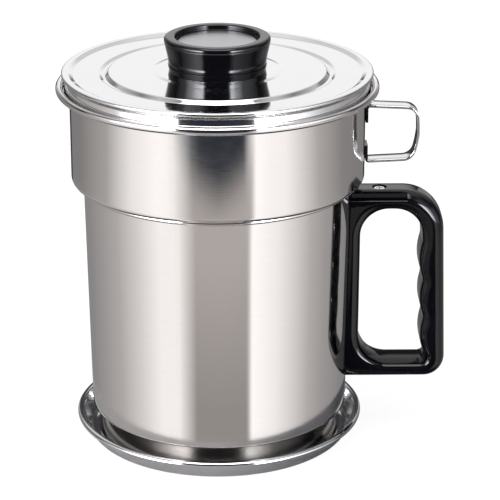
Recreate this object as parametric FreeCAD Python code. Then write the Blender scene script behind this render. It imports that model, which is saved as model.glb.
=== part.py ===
import FreeCAD, Part
import math
import os

# Grease pot: a drip tray, a tapered steel pot with a moulded handle, a lift-out strainer cup with
# a strap loop, and a lid with a round knob. Millimetres, +Z up. The origin is the centre of the
# tray's underside, and both handles point along +X.

# ---- driving sizes -------------------------------------------------------------------------

# drip tray
tray_sheet = 0.6            # sheet thickness
tray_foot_reach = 0.8       # flat underside beyond the pot's foot radius
tray_foot_bend = 2.2
tray_height = 9.0           # to the top of the rolled rim
tray_rim_reach = 6.8        # rim radius beyond the pot's foot radius
tray_bead = 2.4             # outside diameter of the rolled rim

# raised seat welded into the tray
riser_inset = 4.6           # pot's foot radius in to the seat's wall
riser_height = 12.4         # underside of the tray to the top of the seat
riser_flange = 2.6          # flat flange on the tray's floor
riser_boss_height = 1.1     # locating boss in the middle of the seat
riser_bend = 1.2

# pot
pot_sheet = 0.5
pot_foot_radius = 54.6      # outer radius at the bottom
pot_flare = 1.8             # how much wider the wall is at the mouth
pot_height = 100.8          # base plane to rim top
pot_corner = 2.4            # bottom corner, outside radius
pot_dish_inset = 8.4        # foot radius in to the edge of the bottom's raised middle
pot_dish_height = 1.6
pot_dish_bend = 1.2
pot_bead = 2.0              # outside diameter of the rolled rim

# strainer cup
cup_sheet = 0.5
cup_overhang = 5.0          # cup wall radius beyond the pot wall at the mouth
cup_height = 41.4           # underside of the step to the rim top
cup_corner = 2.1            # step corner, outside radius
cup_inner_bend = 1.2        # bends at the neck
cup_ledge_bend = 1.1
cup_rim_height = 3.3        # height of the rolled rim
cup_rim_width = 3.0         # width of the rolled rim
lid_ledge_width = 2.6       # flat ledge that the lid's skirt stands on
neck_depth = 15.0           # how far the neck reaches into the pot
neck_flange = 4.6           # inward flange that carries the strainer
collar_inset = 0.8          # cup's corner bend in to the edge of the neck's collar
plate_sheet = 0.6           # perforated plate
plate_border = 1.0          # plain border inside the flange
hole_radius = 1.6
hole_pitch = 6.2
mesh_sheet = 0.4
retainer_height = 1.8
retainer_width = 2.6

# strap loop on the cup
strap_sheet = 1.1
strap_width = 8.2
strap_reach = 22.9          # cup wall to the outside of the loop
strap_top_drop = 9.6        # cup rim top down to the top of the loop
strap_height = 25.2
strap_bow = 0.9             # how far the outer limb bulges
strap_slope = 0.9           # how much the two long limbs close up outward
strap_corner = 4.8
strap_bow_round = 14.4
strap_foot = 7.0            # length of each turned-in foot
strap_foot_bend = 1.1

# lid
lid_sheet = 0.5
lid_height = 5.2            # cup rim top to the lid's top edge
lid_lip = 0.85              # how far the top edge overhangs the skirt
lid_lip_height = 0.9
lid_lip_bend = 0.4
lid_band_width = 3.0        # raised band round the edge
lid_band_rise = 1.0
lid_bend = 0.5
groove_inset = 16.65        # skirt in to the middle of the pressed ring groove
groove_width = 4.2
groove_floor = 1.2
groove_depth = 1.4
panel_rise = 0.65           # inner panel above the outer ring
seat_radius = 27.2          # low round seat under the knob
seat_rise = 0.3
seat_slope = 1.8            # width of the slope round the seat
skirt_flare = 0.7           # how much wider the skirt is at its foot

# knob
spacer_radius = 20.5
spacer_taper = 0.15
spacer_height = 2.4
knob_foot_radius = 20.7
knob_radius = 22.0
knob_height = 11.7          # above the spacer
knob_waist_height = 2.1     # foot up to the start of the flare
knob_flare_round = 14.0
knob_band_height = 2.4      # upright band at the top
knob_band_round = 2.0
knob_edge = 1.5             # rounding of the top ring
knob_wall = 3.0             # wall round the hollow underside
knob_web = 2.2              # web between the hollow and the disc
knob_boss_wall = 2.6        # wall round the insert
knob_small_round = 0.8
knob_recess_radius = 17.4
knob_recess_depth = 2.2
disc_radius = 16.3
disc_sheet = 0.7
disc_edge = 0.25
insert_radius = 4.0
insert_cover = 1.7          # between the insert and the disc's pocket
knob_screw_radius = 2.0
knob_screw_spare = 0.6      # end of the screw below the insert's end
knob_head_radius = 3.8
knob_head_height = 2.2
knob_head_round = 1.0
washer_radius = 6.0
washer_sheet = 0.8

# moulded handle
handle_half_width = 9.5
handle_top_drop = 5.1       # pot rim top down to the top of the handle
handle_bottom_rise = 11.5   # pot base plane up to the bottom of the handle
handle_reach = 38.6         # pot wall at the mouth to the outside of the grip
handle_lean = 2.6           # extra reach at the bottom
handle_root = 4.0           # how far inside the pot's foot the blank starts, before it is cut back
top_bar = 7.5
bottom_bar = 6.3
spine_thickness = 3.5       # pot wall at the mouth to the window
spine_lean = 0.3            # how much the window's inner side moves in at the bottom
outer_top_corner = 17.2
outer_bottom_corner = 9.0
outer_edge_round = 4.0
grip_thickness = 9.5        # finger hollows to the outside of the grip, at the top
window_lean = 2.75          # extra window length at the bottom
window_top_left = 12.0
window_top_flat = 1.9       # straight run between the two round top corners
window_bottom_left = 13.0
window_bottom_right = 2.4
window_edge_round = 1.9
finger_pitch = 17.1
finger_top_gap = 0.7        # window's round top corner down to the first hollow
finger_bottom = 6.6         # window bottom up to the last hollow
finger_wave = 2.3           # zigzag height before its corners are rounded
finger_round = 23.0
hollow_round = 6.0
crown_length = 22.9         # stepped part of the top bar, from the pot wall at the mouth
crown_half_width = 6.6
crown_drop = 3.2            # top of the handle down to the side ledges

# handle fixings
bracket_sheet = 1.2
bracket_width = 13.0
bracket_height = 14.0
tongue_length = 20.0
tongue_width = 10.6
tongue_drop = 3.3           # handle top down to the tongue's top face
lug_width = 12.0
lug_height = 12.0
lug_rise = 13.0             # handle bottom up to the lug's lower edge
lug_hook = 1.8
lug_overlap = 2.0           # where the hook leaves the plate
handle_screw_offset = 11.6  # pot wall at the mouth to the screw's axis
handle_screw_radius = 1.5
screw_head_radius = 2.6
screw_head_height = 1.5
screw_head_round = 0.6
screw_recess_radius = 3.1
screw_recess_depth = 2.0
nut_radius = 2.9
nut_height = 1.3
cross_length = 3.0          # cross recess in both screw heads
cross_width = 0.7
cross_depth = 0.9

# ---- clearances ----------------------------------------------------------------------------

seat_gap = 0.1              # between bodies that stand on each other
neck_clearance = 0.75       # neck to pot wall, all round
lid_clearance = 0.35        # lid skirt to cup rim, all round
curl_gap = 0.5              # end of a rolled rim to the wall it curls toward
mould_gap = 0.05            # between pieces of one body that sit on each other
handle_gap = 0.1            # moulded handle to the pot's wall
pocket_clearance = 0.2      # round the metal inside the handle
thread_clearance = 0.05

# ---- places worked out from the sizes ---------------------------------------------------------

tray_rim_radius = pot_foot_radius + tray_rim_reach
tray_foot_radius = pot_foot_radius + tray_foot_reach
riser_radius = pot_foot_radius - riser_inset
pot_dish_radius = pot_foot_radius - pot_dish_inset
riser_boss_radius = pot_dish_radius - pot_dish_height - riser_bend

pot_base_z = riser_height + seat_gap
pot_rim_z = pot_base_z + pot_height
pot_mouth_radius = pot_foot_radius + pot_flare
pot_bore_radius = pot_mouth_radius - pot_sheet

cup_step_z = pot_rim_z + seat_gap
cup_radius = pot_mouth_radius + cup_overhang
cup_rim_z = cup_step_z + cup_height
neck_radius = pot_bore_radius - neck_clearance
neck_bottom_z = cup_step_z - neck_depth
neck_inner_radius = neck_radius - cup_sheet
plate_z = neck_bottom_z + cup_sheet + mould_gap
mesh_z = plate_z + plate_sheet + mould_gap
retainer_z = mesh_z + mesh_sheet + mould_gap
plate_radius = neck_inner_radius - cup_inner_bend + cup_sheet / 2 - mould_gap
lid_ledge_z = cup_rim_z - cup_rim_height + cup_sheet
lid_well_radius = cup_radius + lid_ledge_width
cup_rim_radius = lid_well_radius + cup_rim_width

lid_skirt_radius = lid_well_radius - lid_clearance
groove_radius = lid_skirt_radius - groove_inset
lid_top_z = cup_rim_z + lid_height
lid_ring_z = lid_top_z - lid_band_rise
lid_panel_z = lid_ring_z + panel_rise
lid_seat_z = lid_panel_z + seat_rise

spacer_z = lid_seat_z + mould_gap
knob_z = spacer_z + spacer_height + mould_gap
knob_top_z = knob_z + knob_height
disc_z = knob_top_z - knob_recess_depth - disc_sheet
insert_length = disc_z - knob_z - 2 * mould_gap - insert_cover
washer_z = lid_seat_z - lid_sheet - mould_gap - washer_sheet
knob_head_z = washer_z - mould_gap

handle_top_z = pot_rim_z - handle_top_drop
handle_bottom_z = pot_base_z + handle_bottom_rise
handle_outer_x = pot_mouth_radius + handle_reach
handle_root_x = pot_foot_radius - handle_root
window_top_z = handle_top_z - top_bar
window_bottom_z = handle_bottom_z + bottom_bar
window_inner_x = pot_mouth_radius + spine_thickness
window_length = handle_reach - spine_thickness - grip_thickness
window_top_right = window_length - window_top_left - window_top_flat
finger_top = window_top_right + finger_top_gap
finger_room = window_top_z - window_bottom_z - finger_top - finger_bottom
finger_count = round(finger_room / finger_pitch)
tongue_z = handle_top_z - tongue_drop
tongue_low_z = tongue_z - bracket_sheet
tongue_end_x = pot_mouth_radius + tongue_length
nut_z = tongue_low_z - mould_gap - nut_height
lug_z = handle_bottom_z + lug_rise
lug_top_z = lug_z + lug_height
handle_screw_x = pot_mouth_radius + handle_screw_offset

AXIS = FreeCAD.Vector(0, 0, 1)
ORIGIN = FreeCAD.Vector(0, 0, 0)
ROLL = 0.98                 # share of half a rolled rim's width that its bends take up
TOUCH = 1e-4


# ---- profile helpers ---------------------------------------------------------------------------

def unit(da, db):
    """Direction of length one."""
    length = math.hypot(da, db)
    return da / length, db / length


def rounded_path(points, closed=False):
    """Tangent lines and arcs through corners given as (a, b, radius).

    Each piece is (start, middle, end): middle is None for a straight run."""
    count = len(points)
    corners = range(count) if closed else range(1, count - 1)
    starts = {}
    ends = {}
    arcs = {}
    for i in corners:
        a, b, radius = points[i]
        before = points[i - 1]
        after = points[(i + 1) % count]
        in_a, in_b = unit(a - before[0], b - before[1])
        out_a, out_b = unit(after[0] - a, after[1] - b)
        turn = math.acos(max(-1.0, min(1.0, in_a * out_a + in_b * out_b)))
        if radius <= 0 or turn < TOUCH:
            starts[i] = (a, b)
            ends[i] = (a, b)
            continue
        reach = radius * math.tan(turn / 2)
        starts[i] = (a - in_a * reach, b - in_b * reach)
        ends[i] = (a + out_a * reach, b + out_b * reach)
        bisector = unit(out_a - in_a, out_b - in_b)
        depth = radius * (1 / math.cos(turn / 2) - 1)
        arcs[i] = (a + bisector[0] * depth, b + bisector[1] * depth)
    pieces = []
    for i in range(count if closed else count - 1):
        j = (i + 1) % count
        if i in arcs:
            pieces.append((starts[i], arcs[i], ends[i]))
        run_start = ends.get(i, points[i][:2])
        run_end = starts.get(j, points[j][:2])
        if math.dist(run_start, run_end) > TOUCH / 100:
            pieces.append((run_start, None, run_end))
    return pieces


def edge_of(start, middle, end, place):
    """One straight or round edge, with place turning (a, b) into a 3-D point."""
    if middle is None:
        return Part.LineSegment(place(*start), place(*end)).toShape()
    return Part.Arc(place(*start), place(*middle), place(*end)).toShape()


def outline(points, place):
    """Closed face inside rounded corners."""
    pieces = rounded_path(points, closed=True)
    edges = [edge_of(start, middle, end, place) for start, middle, end in pieces]
    return Part.Face(Part.Wire(Part.__sortEdges__(edges)))


def circle_centre(p, q, r):
    """Centre of the circle through three points."""
    d = 2 * (p[0] * (q[1] - r[1]) + q[0] * (r[1] - p[1]) + r[0] * (p[1] - q[1]))
    pp = p[0] ** 2 + p[1] ** 2
    qq = q[0] ** 2 + q[1] ** 2
    rr = r[0] ** 2 + r[1] ** 2
    a = (pp * (q[1] - r[1]) + qq * (r[1] - p[1]) + rr * (p[1] - q[1])) / d
    b = (pp * (r[0] - q[0]) + qq * (p[0] - r[0]) + rr * (q[0] - p[0])) / d
    return a, b


def piece_normals(start, middle, end):
    """Left-hand normals at the start, middle and end of a piece."""
    if middle is None:
        along = unit(end[0] - start[0], end[1] - start[1])
        normal = (-along[1], along[0])
        return [normal, normal, normal]
    centre = circle_centre(start, middle, end)
    chord = (end[0] - start[0], end[1] - start[1])
    to_middle = (middle[0] - start[0], middle[1] - start[1])
    side = 1 if chord[0] * to_middle[1] - chord[1] * to_middle[0] < 0 else -1
    normals = []
    for point in (start, middle, end):
        out = unit(point[0] - centre[0], point[1] - centre[1])
        normals.append((-side * out[0], -side * out[1]))
    return normals


def moved_piece(piece, offset):
    """Piece of a path shifted sideways by an offset."""
    moved = []
    for point, normal in zip(piece, piece_normals(*piece)):
        if point is None:
            moved.append(None)
        else:
            moved.append((point[0] + offset * normal[0], point[1] + offset * normal[1]))
    return tuple(moved)


def strip_face(points, thickness, place):
    """Face of even thickness along a rounded centre line."""
    pieces = rounded_path(points)
    left = [moved_piece(piece, thickness / 2) for piece in pieces]
    right = [moved_piece(piece, -thickness / 2) for piece in pieces]
    edges = [edge_of(*piece, place) for piece in left + right]
    edges.append(edge_of(left[0][0], None, right[0][0], place))
    edges.append(edge_of(left[-1][2], None, right[-1][2], place))
    return Part.Face(Part.Wire(Part.__sortEdges__(edges)))


def in_rz(radius, height):
    """Half-plane that is turned about the main axis."""
    return FreeCAD.Vector(radius, 0, height)


def side_plane(y):
    """Upright plane along X at this Y."""
    def place(x, z):
        return FreeCAD.Vector(x, y, z)
    return place


def turned_sheet(points, thickness):
    """Spun or drawn sheet from its centre line in (radius, height, bend radius)."""
    return strip_face(points, thickness, in_rz).revolve(ORIGIN, AXIS, 360)


def turned_outline(points):
    """Solid turned from a closed outline in (radius, height, corner radius)."""
    return outline(points, in_rz).revolve(ORIGIN, AXIS, 360)


def cylinder(radius, height, x, z):
    """Upright cylinder."""
    return Part.makeCylinder(radius, height, FreeCAD.Vector(x, 0, z))


def ring(outer, inner, height, x, z):
    """Upright ring."""
    return cylinder(outer, height, x, z).cut(cylinder(inner, height, x, z))


def block(x0, x1, half_width, z0, z1):
    """Box that is centred on Y."""
    return Part.makeBox(x1 - x0, 2 * half_width, z1 - z0, FreeCAD.Vector(x0, -half_width, z0))


def wall_radius(z):
    """Outside radius of the pot's tapered wall at a height."""
    return pot_foot_radius + pot_flare * (z - pot_base_z) / pot_height


def wall_band(z0, z1, start, end):
    """Ring along the pot's wall between two distances from the wall's outside."""
    corners = [
        (wall_radius(z0) + start, z0, 0),
        (wall_radius(z0) + end, z0, 0),
        (wall_radius(z1) + end, z1, 0),
        (wall_radius(z1) + start, z1, 0),
    ]
    return turned_outline(corners)


def wall_plate(z0, z1, start, end, half_width):
    """Part of such a ring on the handle's side, cut to a width."""
    band = wall_band(z0, z1, start, end)
    return band.common(block(0, 2 * pot_mouth_radius, half_width, z0, z1))


def cross_cut(screw, x, z0, z1):
    """Cross recess in a screw head between two heights."""
    half = cross_length / 2
    first = block(x - half, x + half, cross_width / 2, z0, z1)
    second = block(x - cross_width / 2, x + cross_width / 2, half, z0, z1)
    return screw.cut(first).cut(second)


# ---- tray ------------------------------------------------------------------------------------------

def tray():
    """Round pressed dish with a sloping wall and a rolled rim."""
    half = tray_sheet / 2
    roll = (tray_bead - tray_sheet) / 2
    top = tray_height - half
    outer = tray_rim_radius - half
    inner = outer - 2 * roll
    path = [
        (0, half, 0),
        (tray_foot_radius, half, tray_foot_bend),
        (inner, top, roll * ROLL),
        (outer, top, roll * ROLL),
        (outer, top - 2 * roll, roll * ROLL),
        (outer - roll - tray_sheet / 2, top - 2 * roll, 0),
    ]
    return turned_sheet(path, tray_sheet)


def tray_riser():
    """Upside-down pan with a flange on the tray's floor, a flat seat and a locating boss."""
    half = tray_sheet / 2
    floor = tray_sheet + mould_gap + half
    seat = riser_height - half
    boss = seat + riser_boss_height
    wall = riser_radius - half
    path = [
        (0, boss, 0),
        (riser_boss_radius - riser_boss_height, boss, riser_bend),
        (riser_boss_radius, seat, riser_bend),
        (wall, seat, riser_bend),
        (wall, floor, riser_bend),
        (wall + riser_flange, floor, 0),
    ]
    return turned_sheet(path, tray_sheet)


# ---- pot -------------------------------------------------------------------------------------------

def pot_body():
    """Drawn shell: dished bottom, tapered wall and rolled rim."""
    half = pot_sheet / 2
    base = pot_base_z + half
    dish = base + pot_dish_height
    roll = (pot_bead - pot_sheet) / 2
    top = pot_rim_z - half
    mouth = pot_mouth_radius - half
    foot = pot_foot_radius - half
    path = [
        (0, dish, 0),
        (pot_dish_radius - pot_dish_height, dish, pot_dish_bend),
        (pot_dish_radius, base, pot_dish_bend),
        (foot, base, pot_corner - half),
        (mouth, top, roll * ROLL),
        (mouth + 2 * roll, top, roll * ROLL),
        (mouth + 2 * roll, top - 2 * roll, roll * ROLL),
        (mouth + roll, top - 2 * roll, 0),
    ]
    return turned_sheet(path, pot_sheet)


# ---- strainer cup ----------------------------------------------------------------------------------

def strainer_cup():
    """Floor with a wide hole, wall, lid ledge and rolled rim."""
    half = cup_sheet / 2
    floor = cup_step_z + half
    ledge = lid_ledge_z - half
    rim = cup_rim_z - half
    wall = cup_radius - half
    well = lid_well_radius + half
    lip = cup_rim_radius - half
    roll = (lip - well) / 2
    curl_z = rim - cup_rim_height + cup_sheet + mould_gap
    path = [
        (neck_radius + cup_inner_bend - half + mould_gap, floor, 0),
        (wall, floor, cup_corner - half),
        (wall, ledge, cup_ledge_bend),
        (well, ledge, lid_bend),
        (well, rim, roll * ROLL),
        (lip, rim, roll * ROLL),
        (lip, curl_z, roll * ROLL),
        (well + half + curl_gap, curl_z, 0),
    ]
    return turned_sheet(path, cup_sheet)


def strainer_neck():
    """Drawn ring with a collar on the cup's floor and a flange inside the pot."""
    half = cup_sheet / 2
    neck = neck_radius - half
    flange = neck_bottom_z + half
    collar = cup_step_z + cup_sheet + mould_gap + half
    path = [
        (neck - neck_flange, flange, 0),
        (neck, flange, cup_inner_bend),
        (neck, collar, cup_inner_bend),
        (cup_radius - cup_corner - collar_inset, collar, 0),
    ]
    return turned_sheet(path, cup_sheet)


def strainer_plate():
    """Flat plate on the neck's flange, with rings of round holes."""
    wires = [Part.Wire(Part.makeCircle(plate_radius, FreeCAD.Vector(0, 0, plate_z), AXIS))]
    room = plate_radius - neck_flange - hole_radius - plate_border
    for k in range(int(room // hole_pitch) + 1):
        count = max(1, 6 * k)
        for i in range(count):
            angle = 2 * math.pi * i / count
            reach = k * hole_pitch
            centre = FreeCAD.Vector(reach * math.cos(angle), reach * math.sin(angle), plate_z)
            wires.append(Part.Wire(Part.makeCircle(hole_radius, centre, AXIS)))
    face = Part.makeFace(wires, "Part::FaceMakerBullseye")
    return face.extrude(FreeCAD.Vector(0, 0, plate_sheet))


def strainer_mesh():
    """Fine mesh as one thin disc on the perforated plate."""
    return cylinder(plate_radius, mesh_sheet, 0, mesh_z)


def mesh_retainer():
    """Angle ring that holds the mesh down."""
    half = cup_sheet / 2
    wall = neck_inner_radius - mould_gap - half
    path = [
        (wall - retainer_width, retainer_z + half, 0),
        (wall, retainer_z + half, cup_sheet),
        (wall, retainer_z + retainer_height, 0),
    ]
    return turned_sheet(path, cup_sheet)


def loop_handle():
    """Flat strap bent to a D, with its two welded feet turned toward each other."""
    half = strap_sheet / 2
    foot = cup_radius + mould_gap + half
    outer = cup_radius + strap_reach - half
    top = cup_rim_z - strap_top_drop - half
    low = top - strap_height + strap_sheet
    path = [
        (foot, top - strap_foot, 0),
        (foot, top, strap_foot_bend),
        (outer - strap_bow, top - strap_slope, strap_corner),
        (outer, (top + low) / 2, strap_bow_round),
        (outer - strap_bow, low + strap_slope, strap_corner),
        (foot, low, strap_foot_bend),
        (foot, low + strap_foot, 0),
    ]
    face = strip_face(path, strap_sheet, side_plane(-strap_width / 2))
    return face.extrude(FreeCAD.Vector(0, strap_width, 0))


# ---- lid ---------------------------------------------------------------------------------------------

def lid_pan():
    """Spun lid: knob seat, inner panel, ring groove, outer ring, raised band, lip and skirt."""
    half = lid_sheet / 2
    band = lid_top_z - half
    ring_z = lid_ring_z - half
    panel = lid_panel_z - half
    seat = lid_seat_z - half
    floor = panel - groove_depth
    skirt = lid_skirt_radius - half
    lip = skirt + lid_lip
    band_start = lip + half - lid_band_width
    neck = skirt - skirt_flare
    path = [
        (knob_screw_radius + pocket_clearance, seat, 0),
        (seat_radius - seat_slope, seat, lid_bend),
        (seat_radius, panel, lid_bend),
        (groove_radius - groove_width / 2, panel, lid_bend),
        (groove_radius - groove_floor / 2, floor, lid_bend),
        (groove_radius + groove_floor / 2, floor, lid_bend),
        (groove_radius + groove_width / 2, ring_z, lid_bend),
        (band_start - lid_band_rise / 2, ring_z, lid_bend),
        (band_start, band, lid_bend),
        (lip, band, lid_bend),
        (lip, band - lid_lip_height, lid_lip_bend),
        (neck, band - lid_lip_height - lid_lip - skirt_flare, lid_bend),
        (skirt, lid_ledge_z + seat_gap, 0),
    ]
    return turned_sheet(path, lid_sheet)


def knob_spacer():
    """Plain collar between the lid and the knob."""
    hole = knob_screw_radius + pocket_clearance
    corners = [
        (hole, spacer_z, 0),
        (spacer_radius - spacer_taper, spacer_z, disc_edge),
        (spacer_radius, spacer_z + spacer_height, disc_edge),
        (hole, spacer_z + spacer_height, 0),
    ]
    return turned_outline(corners)


def lid_knob():
    """Waisted knob with a ring top, a recess for the disc and a hollow underside."""
    pocket = disc_radius + mould_gap
    boss = insert_radius + knob_boss_wall
    hollow = knob_foot_radius - knob_wall
    hollow_top = disc_z - mould_gap - knob_web
    insert_top = knob_z + insert_length + mould_gap
    recess = knob_top_z - knob_recess_depth
    corners = [
        (0, insert_top, 0),
        (insert_radius, insert_top, 0),
        (insert_radius, knob_z, 0),
        (boss, knob_z, 0),
        (boss, hollow_top, knob_small_round),
        (hollow, hollow_top, knob_small_round),
        (hollow, knob_z, 0),
        (knob_foot_radius, knob_z, disc_edge),
        (knob_foot_radius, knob_z + knob_waist_height, knob_flare_round),
        (knob_radius, knob_top_z - knob_band_height, knob_band_round),
        (knob_radius, knob_top_z, knob_edge),
        (knob_recess_radius, knob_top_z, knob_small_round),
        (knob_recess_radius, recess, disc_edge),
        (pocket, recess, 0),
        (pocket, disc_z - mould_gap, 0),
        (0, disc_z - mould_gap, 0),
    ]
    return turned_outline(corners)


def knob_disc():
    """Flat metal disc let into the knob."""
    corners = [
        (0, disc_z, 0),
        (disc_radius, disc_z, 0),
        (disc_radius, disc_z + disc_sheet, disc_edge),
        (0, disc_z + disc_sheet, 0),
    ]
    return turned_outline(corners)


def knob_insert():
    """Threaded insert moulded into the knob's boss."""
    bore = knob_screw_radius + thread_clearance
    return ring(insert_radius - mould_gap, bore, insert_length, 0, knob_z)


def knob_washer():
    """Flat washer under the lid."""
    return ring(washer_radius, knob_screw_radius + pocket_clearance, washer_sheet, 0, washer_z)


def knob_screw():
    """Pan-head screw from below, up into the knob's insert."""
    low = knob_head_z - knob_head_height
    end = knob_z + insert_length - knob_screw_spare
    corners = [
        (0, low, 0),
        (knob_head_radius, low, knob_head_round),
        (knob_head_radius, knob_head_z, 0),
        (knob_screw_radius, knob_head_z, 0),
        (knob_screw_radius, end, 0),
        (0, end, 0),
    ]
    return cross_cut(turned_outline(corners), 0, low, low + cross_depth)


# ---- moulded handle ----------------------------------------------------------------------------------

def on_flat_side(edge):
    """True for an edge that lies on one of the handle's two flat sides."""
    box = edge.BoundBox
    flat = box.YMax - box.YMin < TOUCH
    return flat and abs(abs(box.YMin) - handle_half_width) < TOUCH


def past_root(edge):
    """True for an edge that reaches beyond the blank's inner end."""
    return edge.BoundBox.XMax > handle_root_x + TOUCH


def handle_blank():
    """Handle seen from the side with its outer edges rounded, before the window is cut."""
    corners = [
        (handle_root_x, handle_top_z, 0),
        (handle_outer_x, handle_top_z, outer_top_corner),
        (handle_outer_x + handle_lean, handle_bottom_z, outer_bottom_corner),
        (handle_root_x, handle_bottom_z, 0),
    ]
    face = outline(corners, side_plane(-handle_half_width))
    blank = face.extrude(FreeCAD.Vector(0, 2 * handle_half_width, 0))
    rims = [edge for edge in blank.Edges if on_flat_side(edge) and past_root(edge)]
    return blank.makeFillet(outer_edge_round, rims)


def window_points():
    """Outline of the finger window: spine, bottom, finger waves and round top."""
    height = handle_top_z - handle_bottom_z
    far = window_inner_x + window_length
    low = window_bottom_z + finger_bottom
    step = (window_top_z - finger_top - low) / (2 * finger_count)
    points = [
        (window_inner_x, window_top_z, window_top_left),
        (window_inner_x - spine_lean, window_bottom_z, window_bottom_left),
        (far + window_lean, window_bottom_z, window_bottom_right),
    ]
    for k in range(2 * finger_count + 1):
        z = low + k * step
        hollow = far + window_lean * (handle_top_z - z) / height
        if k % 2 == 0:
            points.append((hollow, z, hollow_round))
        else:
            points.append((hollow - finger_wave, z, finger_round))
    points.append((far, window_top_z, window_top_right))
    return points


def borders_window(edge):
    """True for an edge of the handle's side that runs round the window."""
    box = edge.BoundBox
    upright = box.ZMin > window_bottom_z - TOUCH and box.ZMax < window_top_z + TOUCH
    past_spine = box.XMin > window_inner_x - spine_lean - TOUCH
    short_of_outside = box.XMax < handle_outer_x - outer_edge_round
    return upright and past_spine and short_of_outside


def handle_loop():
    """Blank with its window and rounded window edges."""
    reach = 2 * handle_half_width
    window = outline(window_points(), side_plane(-reach)).extrude(FreeCAD.Vector(0, 2 * reach, 0))
    loop = handle_blank().cut(window)
    rims = [edge for edge in loop.Edges if on_flat_side(edge) and borders_window(edge)]
    return loop.makeFillet(window_edge_round, rims)


def crown_steps():
    """Space above the ledges on both sides of the top bar."""
    low = handle_top_z - crown_drop
    high = handle_top_z + crown_drop
    end = pot_mouth_radius + crown_length
    whole = block(handle_root_x, end, 2 * handle_half_width, low, high)
    return whole.cut(block(handle_root_x, end, crown_half_width, low, high))


def handle_pockets():
    """Room inside the handle for the bracket, its tongue and nut, the screw and the lug."""
    gap = pocket_clearance
    plate_low = tongue_low_z - bracket_height - gap
    plate_half = bracket_width / 2 + gap
    tongue_half = tongue_width / 2 + gap
    hook = 2 * bracket_sheet + gap
    screw_x = handle_screw_x
    nut_low = nut_z - gap
    head_z = handle_top_z - screw_recess_depth
    return [
        wall_plate(plate_low, tongue_z + gap, -pot_sheet, bracket_sheet + gap, plate_half),
        block(handle_root_x, tongue_end_x + gap, tongue_half, tongue_low_z - gap, tongue_z + gap),
        block(handle_root_x, screw_x + nut_radius + gap, nut_radius + gap, nut_low, tongue_low_z),
        cylinder(handle_screw_radius + gap, handle_top_z - nut_low, screw_x, nut_low),
        cylinder(screw_recess_radius, 2 * screw_recess_depth, screw_x, head_z),
        wall_plate(lug_z - gap, lug_top_z + lug_hook + gap, -pot_sheet, hook, lug_width / 2 + gap),
    ]


def pot_handle():
    """D-shaped moulding, cut to the pot's wall, stepped at the top and bored for its fixings."""
    body = handle_loop()
    inside = wall_band(handle_bottom_z - top_bar, pot_rim_z, -pot_foot_radius / 2, handle_gap)
    body = body.cut(inside).cut(crown_steps())
    for pocket in handle_pockets():
        body = body.cut(pocket)
    return body.removeSplitter()


# ---- handle fixings --------------------------------------------------------------------------------

def handle_bracket():
    """Plate on the pot's wall with a tongue that runs into the top bar."""
    low = tongue_low_z - bracket_height
    plate = wall_plate(low, tongue_z, mould_gap, bracket_sheet, bracket_width / 2)
    tongue = block(handle_root_x, tongue_end_x, tongue_width / 2, tongue_low_z, tongue_z)
    tongue = tongue.cut(wall_band(tongue_low_z, tongue_z, -pot_foot_radius / 2, mould_gap))
    bore = handle_screw_radius + thread_clearance
    hole = cylinder(bore, bracket_sheet, handle_screw_x, tongue_low_z)
    return plate.fuse(tongue).cut(hole).removeSplitter()


def handle_lug():
    """Lower plate on the pot's wall, with a hook that stands off and holds the handle's spine."""
    half = lug_width / 2
    plate = wall_plate(lug_z, lug_top_z, mould_gap, bracket_sheet, half)
    hook_low = lug_top_z - lug_overlap
    hook = wall_plate(hook_low, lug_top_z + lug_hook, bracket_sheet, 2 * bracket_sheet, half)
    return plate.fuse(hook).removeSplitter()


def handle_screw():
    """Pan-head screw down through the top bar into the nut."""
    seat = handle_top_z - screw_recess_depth + mould_gap
    top = seat + screw_head_height
    shank = cylinder(handle_screw_radius, seat - nut_z, handle_screw_x, nut_z)
    head = cylinder(screw_head_radius, screw_head_height, handle_screw_x, seat)
    rim = [edge for edge in head.Edges if edge.BoundBox.ZMin > top - TOUCH]
    head = head.makeFillet(screw_head_round, rim)
    return cross_cut(head.fuse(shank).removeSplitter(), handle_screw_x, top - cross_depth, top)


def tongue_nut():
    """Round clinch nut under the tongue."""
    return ring(nut_radius, handle_screw_radius + thread_clearance, nut_height, handle_screw_x, nut_z)


# ---- all sub-parts ---------------------------------------------------------------------------------

SUBPARTS = {
    "tray": tray,
    "tray_riser": tray_riser,
    "pot_body": pot_body,
    "pot_handle": pot_handle,
    "handle_bracket": handle_bracket,
    "handle_lug": handle_lug,
    "handle_screw": handle_screw,
    "tongue_nut": tongue_nut,
    "strainer_cup": strainer_cup,
    "strainer_neck": strainer_neck,
    "strainer_plate": strainer_plate,
    "strainer_mesh": strainer_mesh,
    "mesh_retainer": mesh_retainer,
    "loop_handle": loop_handle,
    "lid_pan": lid_pan,
    "knob_spacer": knob_spacer,
    "lid_knob": lid_knob,
    "knob_disc": knob_disc,
    "knob_insert": knob_insert,
    "knob_washer": knob_washer,
    "knob_screw": knob_screw,
}

os.makedirs("parts", exist_ok=True)
for name, make in SUBPARTS.items():
    shape = make()
    print(name, "solids", len(shape.Solids), "valid", shape.isValid(), "volume", round(shape.Volume, 1))
    if len(shape.Solids) == 1:
        shape = shape.Solids[0]
    shape.exportStep("parts/" + name + ".step")
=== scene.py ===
import math

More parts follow.
